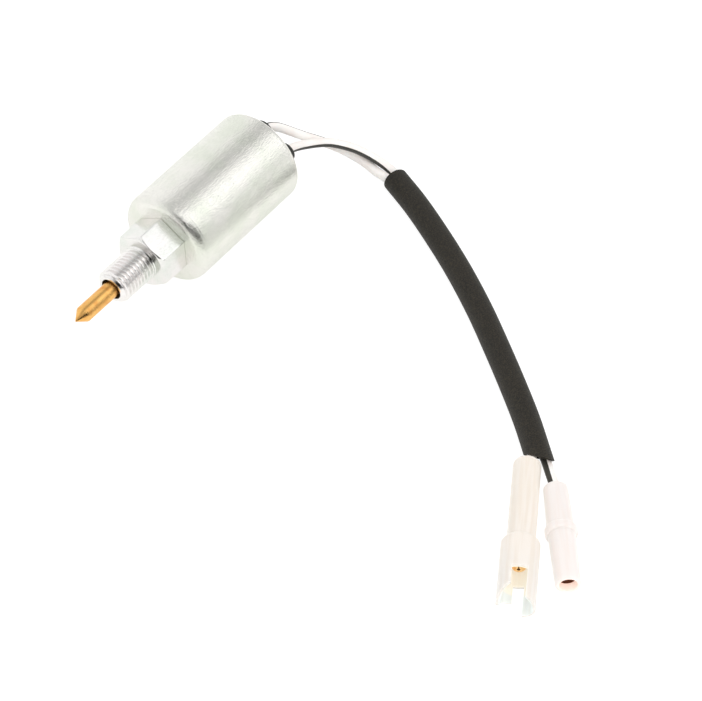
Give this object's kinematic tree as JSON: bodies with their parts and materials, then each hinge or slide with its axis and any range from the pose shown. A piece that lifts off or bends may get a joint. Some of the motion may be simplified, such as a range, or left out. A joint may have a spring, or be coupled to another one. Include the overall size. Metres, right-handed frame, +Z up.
{
  "type": "fuel shutoff solenoid",
  "caption": "Fuel shutoff solenoid: plated can, hex and hollow threaded stud, spring-loaded brass needle, and sleeved leads with bullet connectors.",
  "frame": {"origin": "on the needle's axis at the thread seat, which is the hex's front face", "axes": "+X along the axis towards the rear of the can, +Z up, with the can lying on its side"},
  "size_m": [0.1056, 0.1606, 0.027],
  "materials": {
    "plated_can": "bright zinc plate with a fine grain",
    "plated_body": "bright zinc plate on turned steel",
    "pole_steel": "stamped steel",
    "bobbin_plastic": "moulded black plastic",
    "copper": "enamelled copper wire",
    "tape": "insulating tape",
    "guide_brass": "drawn brass",
    "core_steel": "turned steel",
    "seal_rubber": "nitrile rubber",
    "needle_brass": "turned brass, fine turning lines",
    "spring_steel": "spring wire",
    "tinned_copper": "tinned crimp",
    "plug_rubber": "black moulded rubber",
    "lead_cover": "white insulation with a broad black stripe",
    "sleeve_black": "fine-textured black sleeve",
    "nylon_cream": "natural nylon, slightly translucent",
    "terminal_brass": "rolled brass strip",
    "nylon_pale": "pale nylon, slightly translucent"
  },
  "bodies": {
    "solenoid": {"case_can": "plated_can", "hex_stud_body": "plated_body", "front_pole_washer": "pole_steel", "rear_pole_washer": "pole_steel", "coil_bobbin": "bobbin_plastic", "coil_winding": "copper", "coil_wrap": "tape", "guide_tube": "guide_brass", "fixed_core": "core_steel", "core_oring": "seal_rubber", "body_oring": "seal_rubber", "return_spring": "spring_steel", "stop_shim": "guide_brass", "splice_a": "tinned_copper", "splice_b": "tinned_copper", "rear_plug": "plug_rubber", "lead_a": "lead_cover", "lead_b": "lead_cover", "harness_sleeve": "sleeve_black", "male_housing": "nylon_cream", "male_bullet": "terminal_brass", "female_housing": "nylon_pale", "female_bullet": "terminal_brass"},
    "plunger_set": {"plunger": "core_steel", "needle": "needle_brass"}
  },
  "joints": [
    {"name": "plunger_slide", "type": "slide", "parent": "solenoid", "child": "plunger_set", "axis": [1, 0, 0], "range_m": [0, 0.0035], "stiffness_N_per_m": 200, "springref_m": -0.005, "deforming": ["return_spring"]}
  ]
}
